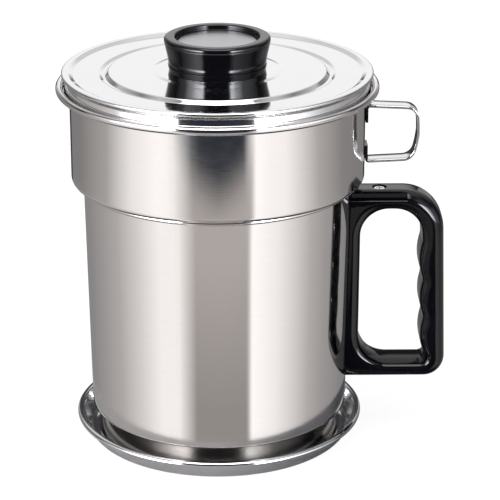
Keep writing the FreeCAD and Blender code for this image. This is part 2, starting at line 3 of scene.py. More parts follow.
import bmesh
import bpy
import numpy as np
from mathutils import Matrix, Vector


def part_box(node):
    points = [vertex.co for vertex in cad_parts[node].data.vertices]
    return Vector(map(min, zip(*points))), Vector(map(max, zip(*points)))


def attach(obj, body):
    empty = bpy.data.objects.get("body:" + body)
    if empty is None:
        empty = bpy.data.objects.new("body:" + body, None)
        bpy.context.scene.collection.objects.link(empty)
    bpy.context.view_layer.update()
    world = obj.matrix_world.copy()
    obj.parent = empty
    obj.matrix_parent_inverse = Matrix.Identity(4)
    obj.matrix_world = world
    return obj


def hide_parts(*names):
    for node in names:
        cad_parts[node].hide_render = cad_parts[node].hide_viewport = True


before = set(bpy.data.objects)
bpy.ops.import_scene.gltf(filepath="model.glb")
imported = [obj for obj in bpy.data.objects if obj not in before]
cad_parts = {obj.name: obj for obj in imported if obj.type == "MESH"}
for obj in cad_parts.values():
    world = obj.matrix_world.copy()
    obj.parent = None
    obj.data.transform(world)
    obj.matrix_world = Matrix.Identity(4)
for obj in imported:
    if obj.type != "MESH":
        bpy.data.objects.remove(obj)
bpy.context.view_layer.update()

bl_info = {
    "name": "Grease pot",
    "version": (1, 0, 0),
    "blender": (4, 5, 0),
    "location": "3D View > Sidebar > Grease pot",
    "description": "Builds a steel grease pot with its tray, strainer cup, lid, handles and stage",
    "category": "Object",
}

MM = 0.001                # profiles are written in millimetres
ARC_STEP = math.radians(11)
SUPPORT = 0.25            # extra ring this far from each bend keeps long walls straight in shading
SHARP = math.radians(32)


# ---- settings ----

class SteelSettings(bpy.types.PropertyGroup):
    """Colours and polish of the steel pieces."""

    wall_colour: bpy.props.FloatVectorProperty(
        name="Wall colour", description="Steel of the pot and the strainer cup",
        default=(0.74, 0.715, 0.70), size=3, subtype="COLOR", min=0, max=1)
    polished_colour: bpy.props.FloatVectorProperty(
        name="Polished colour", description="Steel of the lid, the tray and the strap loop",
        default=(0.78, 0.775, 0.77), size=3, subtype="COLOR", min=0, max=1)
    wall_roughness: bpy.props.FloatProperty(
        name="Wall roughness", description="How dull the brushed walls are",
        default=0.08, min=0, max=1, subtype="FACTOR")
    polished_roughness: bpy.props.FloatProperty(
        name="Polished roughness", description="How dull the polished pieces are",
        default=0.07, min=0, max=1, subtype="FACTOR")
    rings: bpy.props.IntProperty(
        name="Segments", description="Steps round every turned piece",
        default=192, min=24, max=512)


class PlasticSettings(bpy.types.PropertyGroup):
    """Colour and gloss of the moulded pieces."""

    colour: bpy.props.FloatVectorProperty(
        name="Colour", description="Moulded plastic of the handle and the knob",
        default=(0.0012, 0.0011, 0.0016), size=3, subtype="COLOR", min=0, max=1)
    roughness: bpy.props.FloatProperty(
        name="Roughness", description="How dull the moulded pieces are",
        default=0.08, min=0, max=1, subtype="FACTOR")


class MeshSettings(bpy.types.PropertyGroup):
    """Sizes of the woven strainer mesh."""

    pitch: bpy.props.FloatProperty(
        name="Pitch", description="Distance between two wires",
        default=0.0014, min=0.0008, max=0.004, unit="LENGTH")
    wire: bpy.props.FloatProperty(
        name="Wire radius", description="Half the thickness of a wire",
        default=0.0001, min=0.00005, max=0.0002, unit="LENGTH")


class StageSettings(bpy.types.PropertyGroup):
    """Floor, light and camera."""

    floor_colour: bpy.props.FloatVectorProperty(
        name="Floor colour", description="Plain floor under the pot",
        default=(0.9, 0.9, 0.9), size=3, subtype="COLOR", min=0, max=1)
    lens: bpy.props.FloatProperty(
        name="Lens", description="Focal length of the camera in millimetres",
        default=163.15, min=20, max=400, subtype="DISTANCE_CAMERA")
    camera_height: bpy.props.FloatProperty(
        name="Camera angle", description="How far the camera looks down",
        default=math.radians(20.4), min=0, max=math.pi / 2, subtype="ANGLE")


class PotSettings(bpy.types.PropertyGroup):
    """All settings of the grease pot."""

    steel: bpy.props.PointerProperty(type=SteelSettings, name="Steel", description="Steel pieces")
    plastic: bpy.props.PointerProperty(
        type=PlasticSettings, name="Plastic", description="Moulded pieces")
    mesh: bpy.props.PointerProperty(
        type=MeshSettings, name="Mesh", description="Woven strainer mesh")
    stage: bpy.props.PointerProperty(
        type=StageSettings, name="Stage", description="Floor and camera")


def settings():
    return bpy.context.scene.grease_pot


# ---- profiles, in millimetres ----

def heading(p, q):
    """Direction of length one from p to q."""
    length = math.hypot(q[0] - p[0], q[1] - p[1])
    return (q[0] - p[0]) / length, (q[1] - p[1]) / length


def bend(point, before, after, step):
    """Points of one rounded corner with the left-hand normal at each."""
    a, b, radius = point
    go_in = heading(before, point)
    go_out = heading(point, after)
    turn = math.atan2(go_in[0] * go_out[1] - go_in[1] * go_out[0],
                      go_in[0] * go_out[0] + go_in[1] * go_out[1])
    if radius <= 0 or abs(turn) < 1e-4:
        return [(a, b, -go_in[1], go_in[0]), (a, b, -go_out[1], go_out[0])]
    side = math.copysign(1, turn)
    reach = radius * math.tan(abs(turn) / 2)
    start = (a - go_in[0] * reach, b - go_in[1] * reach)
    centre = (start[0] - side * radius * go_in[1], start[1] + side * radius * go_in[0])
    steps = max(2, math.ceil(abs(turn) / step))
    line = []
    for i in range(steps + 1):
        angle = math.atan2(go_in[1], go_in[0]) + turn * i / steps
        normal = (-math.sin(angle), math.cos(angle))
        line.append((centre[0] - side * radius * normal[0],
                     centre[1] - side * radius * normal[1], *normal))
    return line


def rounded_line(points, closed=False, step=ARC_STEP, spacing=None):
    """Line through rounded corners given as (a, b, radius): rows of a, b and the normal."""
    count = len(points)
    line = []
    for i, point in enumerate(points):
        if not closed and i in (0, count - 1):
            along = heading(*(points[-2:] if i else points[:2]))
            corner = [(point[0], point[1], -along[1], along[0])]
        else:
            corner = bend(point, points[i - 1], points[(i + 1) % count], step)
        if line:
            line += between(line[-1], corner[0], spacing)
        line += corner
    if closed:
        line += between(line[-1], line[0], spacing)
    return line


def between(last, first, spacing):
    """Extra points on a straight run: evenly spaced, or one near each end."""
    length = math.hypot(first[0] - last[0], first[1] - last[1])
    if spacing:
        steps = max(1, math.ceil(length / spacing))
        places = [i / steps for i in range(1, steps)]
    elif length > 4 * SUPPORT:
        places = [SUPPORT / length, 1 - SUPPORT / length]
    else:
        return []
    normal = (last[2], last[3])
    return [(last[0] + (first[0] - last[0]) * t, last[1] + (first[1] - last[1]) * t, *normal)
            for t in places]


def clean(points):
    """Points without neighbours that lie on each other."""
    kept = [points[0]]
    for point in points[1:]:
        if math.dist(point, kept[-1]) > 1e-5:
            kept.append(point)
    if math.dist(kept[0], kept[-1]) < 1e-5:
        kept.pop()
    return kept


def sheet_section(points, thickness):
    """Cut face of a bent sheet, from its centre line."""
    line = rounded_line(points)
    left = [(a + u * thickness / 2, b + v * thickness / 2) for a, b, u, v in line]
    right = [(a - u * thickness / 2, b - v * thickness / 2) for a, b, u, v in line]
    return clean(left + right[::-1])


def solid_section(points):
    """Cut face of a turned solid, from its corners."""
    return clean([row[:2] for row in rounded_line(points, closed=True)])


# ---- geometry node trees ----

def flat_mesh(name, corners, faces=(), edges=()):
    """Mesh from its corners in metres."""
    mesh = bpy.data.meshes.new(name)
    mesh.from_pydata(corners, edges, faces)
    return mesh


def placed(name, data):
    """Object in the scene that carries some data."""
    obj = bpy.data.objects.new(name, data)
    bpy.context.scene.collection.objects.link(obj)
    return obj


def new_tree(name, inputs):
    """Geometry tree with named inputs and a material, and the sockets at its two ends."""
    tree = bpy.data.node_groups.new(name, "GeometryNodeTree")
    tree.is_modifier = True
    for label, kind in [*inputs, ("Material", "Material")]:
        tree.interface.new_socket(label, in_out="INPUT", socket_type="NodeSocket" + kind)
    tree.interface.new_socket("Geometry", in_out="OUTPUT", socket_type="NodeSocketGeometry")
    return (tree, tree.nodes.new("NodeGroupInput").outputs,
            tree.nodes.new("NodeGroupOutput").inputs)


def fill(tree, node, values):
    """Node with some of its inputs set, or linked to a socket or to a node's first output."""
    for key, value in dict(values).items():
        if isinstance(value, bpy.types.Node):
            value = value.outputs[0]
        if isinstance(value, bpy.types.NodeSocket):
            tree.links.new(value, node.inputs[key])
        else:
            node.inputs[key].default_value = value
    return node


def add(tree, kind, values=(), **fields):
    """New node with its fields and some of its inputs set."""
    node = tree.nodes.new(kind)
    for field, value in fields.items():
        setattr(node, field, value)
    return fill(tree, node, values)


def maths(tree, operation, a, b=None):
    """Result of one Math node."""
    values = {0: a} if b is None else {0: a, 1: b}
    return add(tree, "ShaderNodeMath", values, operation=operation).outputs[0]


def xyz(tree, parts):
    """Vector from its parts by name."""
    return add(tree, "ShaderNodeCombineXYZ", parts).outputs[0]


def axes_of(tree, vector):
    """The three parts of a vector."""
    return add(tree, "ShaderNodeSeparateXYZ", {0: vector}).outputs


def length_of(tree, vector):
    """Length of a vector."""
    return add(tree, "ShaderNodeVectorMath", {0: vector}, operation="LENGTH").outputs["Value"]


def ranged(tree, value, first, last, low=0.0, high=1.0):
    """Value brought from one range to another and held at its ends."""
    return add(tree, "ShaderNodeMapRange", {
        "Value": value, "From Min": first, "From Max": last,
        "To Min": low, "To Max": high}).outputs[0]


def end_tree(tree, given, shown, geometry):
    """Realize Instances and Set Material, then the tree's output."""
    real = add(tree, "GeometryNodeRealizeInstances", {"Geometry": geometry})
    coloured = add(tree, "GeometryNodeSetMaterial",
                   {"Geometry": real, "Material": given["Material"]})
    tree.links.new(coloured.outputs[0], shown["Geometry"])
    return tree


def turned_tree():
    """Spins a section about Z on a thin core circle."""
    tree, given, shown = new_tree("Turned section", [
        ("Geometry", "Geometry"), ("Segments", "Int"), ("Core radius", "Float")])
    section = add(tree, "GeometryNodeMeshToCurve", {"Mesh": given["Geometry"]})
    core = add(tree, "GeometryNodeCurvePrimitiveCircle",
               {"Resolution": given["Segments"], "Radius": given["Core radius"]})
    spun = add(tree, "GeometryNodeCurveToMesh",
               {"Curve": core, "Profile Curve": section})
    merged = add(tree, "GeometryNodeMergeByDistance",
                 {"Geometry": spun, "Distance": 1e-7})
    return end_tree(tree, given, shown, merged)


def swept_tree():
    """Sweeps a bar's section along a bent centre line."""
    tree, given, shown = new_tree("Swept bar", [
        ("Geometry", "Geometry"), ("Thickness", "Float"), ("Width", "Float"), ("Edge", "Float")])
    path = add(tree, "GeometryNodeMeshToCurve", {"Mesh": given["Geometry"]})
    bar = add(tree, "GeometryNodeCurvePrimitiveQuadrilateral",
              {"Width": given["Thickness"], "Height": given["Width"]})
    rounded = add(tree, "GeometryNodeFilletCurve",
                  {"Curve": bar, "Radius": given["Edge"], "Count": 3}, mode="POLY")
    swept = add(tree, "GeometryNodeCurveToMesh",
                {"Curve": path, "Profile Curve": rounded,
                 "Fill Caps": True})
    return end_tree(tree, given, shown, swept)


def woven_tree():
    """Plain weave of wires cut to a disc, in two crossing sets."""
    tree, given, shown = new_tree("Woven disc", [
        (label, "Float") for label in ("Radius", "Pitch", "Wire", "Height")])
    pitch = given["Pitch"]
    rows_each_way = maths(tree, "FLOOR", maths(tree, "DIVIDE", given["Radius"], pitch))
    wires = maths(tree, "ADD", maths(tree, "MULTIPLY", rows_each_way, 2.0), 1.0)
    bends = maths(tree, "SUBTRACT", maths(tree, "MULTIPLY", wires, 2.0), 1.0)
    reach = maths(tree, "MULTIPLY", rows_each_way, pitch)
    back = maths(tree, "MULTIPLY", reach, -1.0)
    joined = add(tree, "GeometryNodeJoinGeometry")
    for along, across, sign in (("X", "Y", 1.0), ("Y", "X", -1.0)):
        wire = add(tree, "GeometryNodeCurvePrimitiveLine",
                   {"Start": xyz(tree, {along: back}), "End": xyz(tree, {along: reach})})
        fine = add(tree, "GeometryNodeResampleCurve", {"Curve": wire, "Count": bends})
        rows = add(tree, "GeometryNodeMeshLine", {
            "Count": wires, "Start Location": xyz(tree, {across: back}),
            "Offset": xyz(tree, {across: pitch})}, mode="OFFSET")
        repeated = add(tree, "GeometryNodeInstanceOnPoints",
                       {"Points": rows, "Instance": fine})
        flat = add(tree, "GeometryNodeRealizeInstances", {"Geometry": repeated})
        x, y, _ = axes_of(tree, add(tree, "GeometryNodeInputPosition"))
        phase = maths(tree, "DIVIDE", maths(tree, "ADD", x, y), pitch)
        wave = maths(tree, "COSINE", maths(tree, "MULTIPLY", phase, math.pi))
        lift = maths(tree, "MULTIPLY", maths(tree, "MULTIPLY", wave, sign), given["Wire"])
        offset = xyz(tree, {"Z": maths(tree, "ADD", lift, given["Height"])})
        waved = add(tree, "GeometryNodeSetPosition",
                    {"Geometry": flat, "Offset": offset})
        far = length_of(tree, xyz(tree, {"X": x, "Y": y}))
        trimmed = add(tree, "GeometryNodeDeleteGeometry", {
            "Geometry": waved,
            "Selection": maths(tree, "GREATER_THAN", far, given["Radius"])})
        section = add(tree, "GeometryNodeCurvePrimitiveCircle",
                      {"Resolution": 4, "Radius": given["Wire"]})
        bar = add(tree, "GeometryNodeCurveToMesh",
                  {"Curve": trimmed, "Profile Curve": section,
                   "Fill Caps": True})
        fill(tree, joined, {0: bar})
    return end_tree(tree, given, shown, joined)


def made_mesh(name, obj, tools=()):
    """Plain mesh that an object's modifiers make; the object and its tools are removed."""
    graph = bpy.context.evaluated_depsgraph_get()
    made = bpy.data.meshes.new_from_object(obj.evaluated_get(graph), depsgraph=graph)
    for used in (obj, *tools):
        bpy.data.objects.remove(used)
    made.name = name
    return made


def tree_mesh(name, mesh, tree, values):
    """Plain mesh that a geometry tree makes from another mesh."""
    maker = placed(name + "_maker", mesh)
    modifier = maker.modifiers.new("Maker", "NODES")
    modifier.node_group = tree
    for item in tree.interface.items_tree:
        if item.in_out == "INPUT" and item.name in values:
            modifier[item.identifier] = values[item.name]
    return made_mesh(name, maker)


# ---- pieces ----

def turn_outward(mesh, weld=False):
    """Turns a mesh's faces outward, with what lies in one place joined first if asked."""
    work = bmesh.new()
    work.from_mesh(mesh)
    if weld:
        bmesh.ops.remove_doubles(work, verts=work.verts, dist=1e-8)
        bmesh.ops.dissolve_degenerate(work, edges=work.edges, dist=1e-9)
    bmesh.ops.recalc_face_normals(work, faces=work.faces)
    work.to_mesh(mesh)
    work.free()


def new_piece(name, mesh, body, nodes):
    """Object at the origin that rides its body in place of its nodes."""
    turn_outward(mesh, weld=True)
    for face in mesh.polygons:
        face.use_smooth = True
    mesh.set_sharp_from_angle(angle=SHARP)
    piece = placed(name, mesh)
    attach(piece, body)
    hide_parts(*nodes)


def turned(name, section, body, node, material):
    """Turned piece from its section in (radius, height)."""
    core = 0.001
    on_axis = [i for i, point in enumerate(section) if abs(point[0]) < 1e-6]
    if on_axis:
        last = max(on_axis) if on_axis != [0, len(section) - 1] else 0
        section = section[last:] + section[:last]
    points = [(r * MM - core, -z * MM, 0) for r, z in section]
    edges = [(i, i + 1) for i in range(len(points) - 1)]
    if not on_axis:
        edges.append((len(points) - 1, 0))
    outline = flat_mesh(name + "_section", points, edges=edges)
    made = tree_mesh(name, outline, tree_of("Turned section", turned_tree), {
        "Segments": settings().steel.rings, "Core radius": core, "Material": material})
    new_piece(name, made, body, [node])


def tree_of(name, make):
    """Node tree by name, made the first time."""
    return bpy.data.node_groups.get(name) or make()


def carried(node, material):
    """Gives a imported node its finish."""
    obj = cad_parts[node]
    if not obj.material_slots:
        obj.data.materials.append(material)
    for slot in obj.material_slots:
        slot.material = material


# ---- finishes ----

LINE_SHADE = 0.93          # share of its colour that steel keeps between the polishing lines
PAINTED_SHADE_FADE = (1.15 * MM, 1.4 * MM)  # painted shade on the strap's feet fades out between these distances from the wall


def new_group(name, inputs, outputs):
    """Shader group with named sockets, and the sockets at its two ends."""
    group = bpy.data.node_groups.new(name, "ShaderNodeTree")
    for way, labels in (("INPUT", inputs), ("OUTPUT", outputs)):
        for label in labels:
            group.interface.new_socket(label, in_out=way, socket_type="NodeSocketFloat")
    return (group, group.nodes.new("NodeGroupInput").outputs,
            group.nodes.new("NodeGroupOutput").inputs)


def object_place(tree):
    """Place on the object, from its own origin."""
    return add(tree, "ShaderNodeTexCoord").outputs["Object"]


def ring_grain_group():
    """Fine lines that run round the Z axis."""
    group, given, shown = new_group("Ring grain", ("Around", "Across"), ("Lines",))
    axes = axes_of(group, object_place(group))
    plan = xyz(group, {"X": axes[0], "Y": axes[1]})
    turn = add(group, "ShaderNodeVectorMath", {0: plan}, operation="NORMALIZE").outputs["Vector"]
    turn = axes_of(group, turn)
    depth = maths(group, "ADD", length_of(group, plan), axes[2])
    lines = xyz(group, {"X": maths(group, "MULTIPLY", turn[0], given["Around"]),
                        "Y": maths(group, "MULTIPLY", turn[1], given["Around"]),
                        "Z": maths(group, "MULTIPLY", depth, given["Across"])})
    fine = add(group, "ShaderNodeTexNoise",
               {"Vector": lines, "Scale": 1.0, "Detail": 3.0, "Roughness": 0.6})
    group.links.new(fine.outputs[0], shown["Lines"])
    return group


def handling_group():
    """Faint smudges and specks left by use."""
    group, given, shown = new_group("Handling marks", ("Smudge scale", "Speck scale"),
                                    ("Smudges", "Specks"))
    place = object_place(group)
    smudge = add(group, "ShaderNodeTexNoise", {
        "Vector": place, "Scale": given["Smudge scale"], "Detail": 4.0, "Roughness": 0.6,
        "Distortion": 0.6})
    speck = add(group, "ShaderNodeTexNoise", {
        "Vector": place, "Scale": given["Speck scale"], "Detail": 1.0})
    group.links.new(ranged(group, smudge.outputs[0], 0.45, 0.75), shown["Smudges"])
    group.links.new(speck.outputs[0], shown["Specks"])
    return group


def new_material(name):
    """Material with its Principled shader."""
    material = bpy.data.materials.new(name)
    material.use_nodes = True
    return material, material.node_tree, material.node_tree.nodes["Principled BSDF"]


def grouped(tree, name, make, values):
    """Outputs of a shader group placed in a material with its own values."""
    node = tree.nodes.new("ShaderNodeGroup")
    node.node_tree = tree_of(name, make)
    for socket, value in zip(node.inputs, values):
        socket.default_value = value
    return node.outputs


def blended(tree, factor, low, high):
    """Mix of two colours, each a socket or three numbers."""
    mix = tree.nodes.new("ShaderNodeMix")
    mix.data_type = "RGBA"
    colours = [value if isinstance(value, bpy.types.NodeSocket) else (*value, 1)
               for value in (low, high)]
    return fill(tree, mix, {0: factor, 6: colours[0], 7: colours[1]}).outputs[2]


def steel(name, colour, roughness, spread, lines, depth, anisotropy=0.0):
    """Drawn steel with ring-shaped polishing lines and faint handling marks."""
    found = bpy.data.materials.get(name)
    if found:
        return found
    material, tree, shader = new_material(name)
    grain = grouped(tree, "Ring grain", ring_grain_group, lines)["Lines"]
    marks = grouped(tree, "Handling marks", handling_group, (55.0, 2600.0))["Smudges"]
    dark = [channel * LINE_SHADE for channel in colour]
    streaked = ranged(tree, grain, 0, 1, roughness - spread, roughness + spread)
    smudged = maths(tree, "MULTIPLY", marks, spread)
    bump = add(tree, "ShaderNodeBump", {"Height": grain, "Strength": 1.0, "Distance": depth})
    fill(tree, shader, {"Base Color": blended(tree, grain, dark, colour), "Metallic": 1.0,
                        "Roughness": maths(tree, "ADD", streaked, smudged),
                        "Normal": bump})
    if anisotropy:
        tangent = add(tree, "ShaderNodeTangent", direction_type="RADIAL", axis="Z")
        fill(tree, shader, {"Anisotropic": anisotropy, "Anisotropic Rotation": 0.25,
                            "Tangent": tangent})
    return material


def wall_steel():
    group = settings().steel
    return steel("Brushed wall steel", group.wall_colour, group.wall_roughness, 0.03,
                 (9.0, 2400.0), 0.0000025, 0.7)


def polished_steel(name="Polished steel"):
    group = settings().steel
    return steel(name, group.polished_colour, group.polished_roughness, 0.02,
                 (5.0, 3200.0), 0.0000008)


def strap_steel(wall):
    """Polished steel with painted shade darkening both feet, next to the cup's wall."""
    material = polished_steel("Strap steel")
    tree = material.node_tree
    base = tree.nodes["Principled BSDF"].inputs["Base Color"]
    away = axes_of(tree, object_place(tree))[0]
    clear = ranged(tree, away, wall + PAINTED_SHADE_FADE[0], wall + PAINTED_SHADE_FADE[1])
    # painted shade: near-black colour on the strap's feet, standing in for the dark they mirror
    painted_shade = blended(tree, clear, (0.02, 0.02, 0.022), base.links[0].from_socket)
    tree.links.new(painted_shade, base)
    return material


# painted shade: the seat under the pot gets a dark colour that stands in for the shade beneath the
# pot
def seat_steel_painted_shade():
    return steel("Seat steel with painted shade", (0.27, 0.26, 0.25), 0.15, 0.02, (12.0, 1800.0), 0.000001)


def plain_steel():
    colour = [channel * 0.7 for channel in settings().steel.wall_colour]
    return steel("Mill steel", colour, 0.34, 0.08, (14.0, 1600.0), 0.000006)


def bright_steel():
    return steel("Plated screw steel", settings().steel.polished_colour, 0.1, 0.03,
                 (4.0, 5200.0), 0.000001)


def disc_steel():
    return steel("Satin disc metal", (0.45, 0.445, 0.45), 0.3, 0.05, (3.0, 4800.0), 0.000003)


def brass():
    return steel("Turned brass", (0.66, 0.47, 0.2), 0.26, 0.06, (4.0, 3600.0), 0.000003)


def plastic():
    """Glossy moulded plastic with a faint ripple, smudges and fine dust."""
    found = bpy.data.materials.get("Moulded black plastic")
    if found:
        return found
    group = settings().plastic
    haze, haze_gain, haze_dulling = 0.0004, 1.4, 0.04
    material, tree, shader = new_material("Moulded black plastic")
    marks = grouped(tree, "Handling marks", handling_group, (70.0, 1800.0))
    smudges = marks["Smudges"]
    dusty = [channel * haze_gain + haze for channel in group.colour]
    ripple = add(tree, "ShaderNodeBump",
                 {"Height": marks["Specks"], "Strength": 1.0, "Distance": 0.000002})
    fill(tree, shader, {
        "Base Color": blended(tree, smudges, group.colour, dusty), "IOR": 1.4,
        "Roughness": ranged(tree, smudges, 0, 1, group.roughness,
                            group.roughness + haze_dulling),
        "Normal": ripple})
    return material


# ---- turned steel pieces ----

def extent(node, inset=0):
    """Bottom, top and radius of a round node in millimetres, each moved inwards if asked."""
    low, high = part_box(node)
    return low.z / MM + inset, high.z / MM - inset, high.y / MM - inset


def rolled(inner, outer, top, low, end):
    """Corners of a rim rolled outward and down from a wall, just short of a full half circle."""
    round_off = 0.49 * (outer - inner)
    return [(inner, top, round_off), (outer, top, round_off), (outer, low, round_off),
            (end, low, 0)]


POT_FOOT = 54.6            # outside radius of the pot's wall at its bottom
POT_FLARE = 1.8            # how much wider the wall is at its top


class GREASEPOT_OT_tray(bpy.types.Operator):
    """Make the drip tray with its rolled rim, and finish the raised seat"""
    bl_idname = "greasepot.tray"
    bl_label = "Drip tray"

    def execute(self, context):
        sheet, bead, foot = 0.6, 2.4, 55.4
        half = sheet / 2
        roll = (bead - sheet) / 2
        _, top, outer = extent("tray", half)
        path = [(0, half, 0), (foot, half, 2.2),
                *rolled(outer - 2 * roll, outer, top, top - 2 * roll, outer - roll - half)]
        turned("TrayDish", sheet_section(path, sheet), "tray", "tray",
               polished_steel())
        # the raised seat carries painted shade
        carried("tray_riser", seat_steel_painted_shade())
        return {"FINISHED"}


class GREASEPOT_OT_pot(bpy.types.Operator):
    """Make the pot's drawn shell with its dished bottom and rolled rim"""
    bl_idname = "greasepot.pot"
    bl_label = "Pot"

    def execute(self, context):
        sheet, bead, dish, dish_rise = 0.5, 2.0, 46.2, 1.6
        half = sheet / 2
        roll = (bead - sheet) / 2
        base, top, outer = extent("pot_body", half)
        mouth = outer - 2 * roll
        path = [(0, base + dish_rise, 0), (dish - dish_rise, base + dish_rise, 1.2),
                (dish, base, 1.2), (POT_FOOT - half, base, 0.7),
                *rolled(mouth, mouth + 2 * roll, top, top - 2 * roll, mouth + roll)]
        turned("PotShell", sheet_section(path, sheet), "pot", "pot_body", wall_steel())
        return {"FINISHED"}


class GREASEPOT_OT_cup(bpy.types.Operator):
    """Make the strainer cup's shell and finish its neck"""
    bl_idname = "greasepot.cup"
    bl_label = "Strainer cup"

    def execute(self, context):
        sheet, rim_height, rim_width, ledge_width = 0.5, 3.3, 3.0, 2.6
        half = sheet / 2
        floor, rim, lip = extent("strainer_cup", half)
        well = lip + half - rim_width + half
        wall = well - 2 * half - ledge_width
        ledge = rim - half - rim_height + sheet
        curl = rim - rim_height + sheet + 0.05
        path = [(56.15, floor, 0), (wall, floor, 1.85), (wall, ledge, 1.1), (well, ledge, 0.5),
                *rolled(well, lip, rim, curl, well + half + 0.5)]
        turned("CupShell", sheet_section(path, sheet), "strainer", "strainer_cup",
               wall_steel())
        carried("strainer_neck", wall_steel())
        return {"FINISHED"}


class GREASEPOT_OT_strainer(bpy.types.Operator):
    """Weave the strainer mesh and finish the plate and the ring that hold it"""
    bl_idname = "greasepot.strainer"
    bl_label = "Strainer"

    def execute(self, context):
        low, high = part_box("strainer_mesh")
        group = settings().mesh
        seed = flat_mesh("Weave_seed", [])
        made = tree_mesh("WovenMesh", seed, tree_of("Woven disc", woven_tree), {
            "Radius": high.y - 2 * group.wire, "Pitch": group.pitch, "Wire": group.wire,
            "Height": (low.z + high.z) / 2, "Material": polished_steel()})
        new_piece("WovenMesh", made, "strainer", ["strainer_mesh"])
        carried("strainer_plate", plain_steel())
        carried("mesh_retainer", polished_steel())
        return {"FINISHED"}


class GREASEPOT_OT_loop(bpy.types.Operator):
    """Bend the strap loop on the cup's side"""
    bl_idname = "greasepot.loop"
    bl_label = "Strap loop"

    def execute(self, context):
        sheet, bow, slope, corner, foot_length, foot_bend = 1.1, 0.9, 0.9, 4.8, 7.0, 1.1
        low_bow, low_corner_bend, side_bow, side_bend = 2.3, 5.4, 0.3, 26.0
        half = sheet / 2
        low_corner, high_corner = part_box("loop_handle")
        inner = low_corner.x / MM + half
        outer = high_corner.x / MM - half
        top = high_corner.z / MM - half
        low = low_corner.z / MM + half
        corners = [(inner, top - foot_length, 0), (inner, top, foot_bend),
                   (outer - bow, top - slope, corner),
                   (outer + side_bow, (top + low) / 2, side_bend),
                   (outer - low_bow, low + slope, low_corner_bend), (inner, low, foot_bend),
                   (inner, low + foot_length, 0)]
        line = clean([row[:2] for row in rounded_line(corners)] + [(inner, low + foot_length)])
        path = flat_mesh("Loop_path", [(x * MM, 0, z * MM) for x, z in line],
                         edges=[(i, i + 1) for i in range(len(line) - 1)])
        made = tree_mesh("StrapLoop", path, tree_of("Swept bar", swept_tree), {
            "Thickness": sheet * MM, "Width": high_corner.y - low_corner.y, "Edge": 0.3 * MM,
            "Material": strap_steel(low_corner.x)})
        new_piece("StrapLoop", made, "strainer", ["loop_handle"])
        return {"FINISHED"}


class GREASEPOT_OT_lid(bpy.types.Operator):
    """Press the lid with its seat, ring groove, edge band and skirt"""
    bl_idname = "greasepot.lid"
    bl_label = "Lid"

    def execute(self, context):
        sheet, groove, width, depth, flat = 0.5, 47.0, 4.2, 1.4, 0.6
        half = sheet / 2
        _, band, lip = extent("lid_pan", half)
        ring = band - 1.0
        panel = ring + 0.65
        seat = panel + 0.3
        skirt = lip - 0.85
        band_start = lip + half - 3.0
        path = [(2.2, seat, 0), (25.4, seat, 0.5), (27.2, panel, 0.5),
                (groove - width / 2, panel, 0.5), (groove - flat, panel - depth, 0.5),
                (groove + flat, panel - depth, 0.5), (groove + width / 2, ring, 0.5),
                (band_start - 1.7, ring, 0.6), (band_start + 0.3, band, 0.6), (lip, band, 0.5),
                (lip, band - 0.9, 0.4), (skirt - 0.7, band - 2.45, 0.5),
                (skirt, extent("lid_pan")[0], 0)]
        turned("LidPan", sheet_section(path, sheet), "lid", "lid_pan",
               polished_steel())
        return {"FINISHED"}


class GREASEPOT_OT_knob(bpy.types.Operator):
    """Turn the knob, its collar and its disc, and finish the screw below"""
    bl_idname = "greasepot.knob"
    bl_label = "Knob"

    def execute(self, context):
        low, high, edge = extent("knob_spacer")
        collar = [(2.2, low, 0), (edge - 0.4, low, 0.05), (edge, high, 0.05), (2.2, high, 0)]
        turned("KnobCollar", solid_section(collar), "lid", "knob_spacer", plastic())
        foot, top, wide = extent("lid_knob")
        disc, face, rim = extent("knob_disc")
        hollow = disc - 2.25
        insert = extent("knob_insert")[1] + 0.05
        corners = [(0, insert, 0), (4.0, insert, 0), (4.0, foot, 0), (6.6, foot, 0),
                   (6.6, hollow, 0.8), (17.7, hollow, 0.8), (17.7, foot, 0), (20.1, foot, 0.05),
                   (20.85, foot + 4.2, 14.0), (wide, top - 2.4, 2.0), (wide, top, 1.5),
                   (17.4, top, 0.8), (17.4, top - 2.2, 0.25), (16.35, top - 2.2, 0),
                   (16.35, disc - 0.05, 0), (0, disc - 0.05, 0)]
        turned("KnobBody", solid_section(corners), "lid", "lid_knob", plastic())
        plate = [(0, disc, 0), (rim, disc, 0), (rim, face, 0.25), (0, face, 0)]
        turned("KnobDisc", solid_section(plate), "lid", "knob_disc", disc_steel())
        carried("knob_insert", brass())
        carried("knob_washer", bright_steel())
        carried("knob_screw", bright_steel())
        return {"FINISHED"}


# ---- moulded handle ----

HANDLE_HALF = 9.5          # half the handle's width
CROWN_HALF = 3.3           # half the flat strip along its outside
WALL_GAP = 0.1             # handle to the pot's wall
INSIDE = 40                # where cutters start, well inside the pot's wall


def wall_radius(z):
    """Outside radius of the pot's tapered wall at a height, in millimetres."""
    base, top, _ = extent("pot_body")
    return POT_FOOT + POT_FLARE * (z - base) / (top - base)


def handle_outside():
    """Outline of the handle's outside, from the pot's wall round to the pot's wall."""
    low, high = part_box("pot_handle")
    top, bottom, reach = high.z / MM, low.z / MM, high.x / MM
    corners = [(50.6, top, 0), (reach - 2.6, top, 17.2), (reach, bottom, 9.0), (50.6, bottom, 0)]
    return np.array([row[:2] for row in rounded_line(corners, step=0.06, spacing=0.8)])


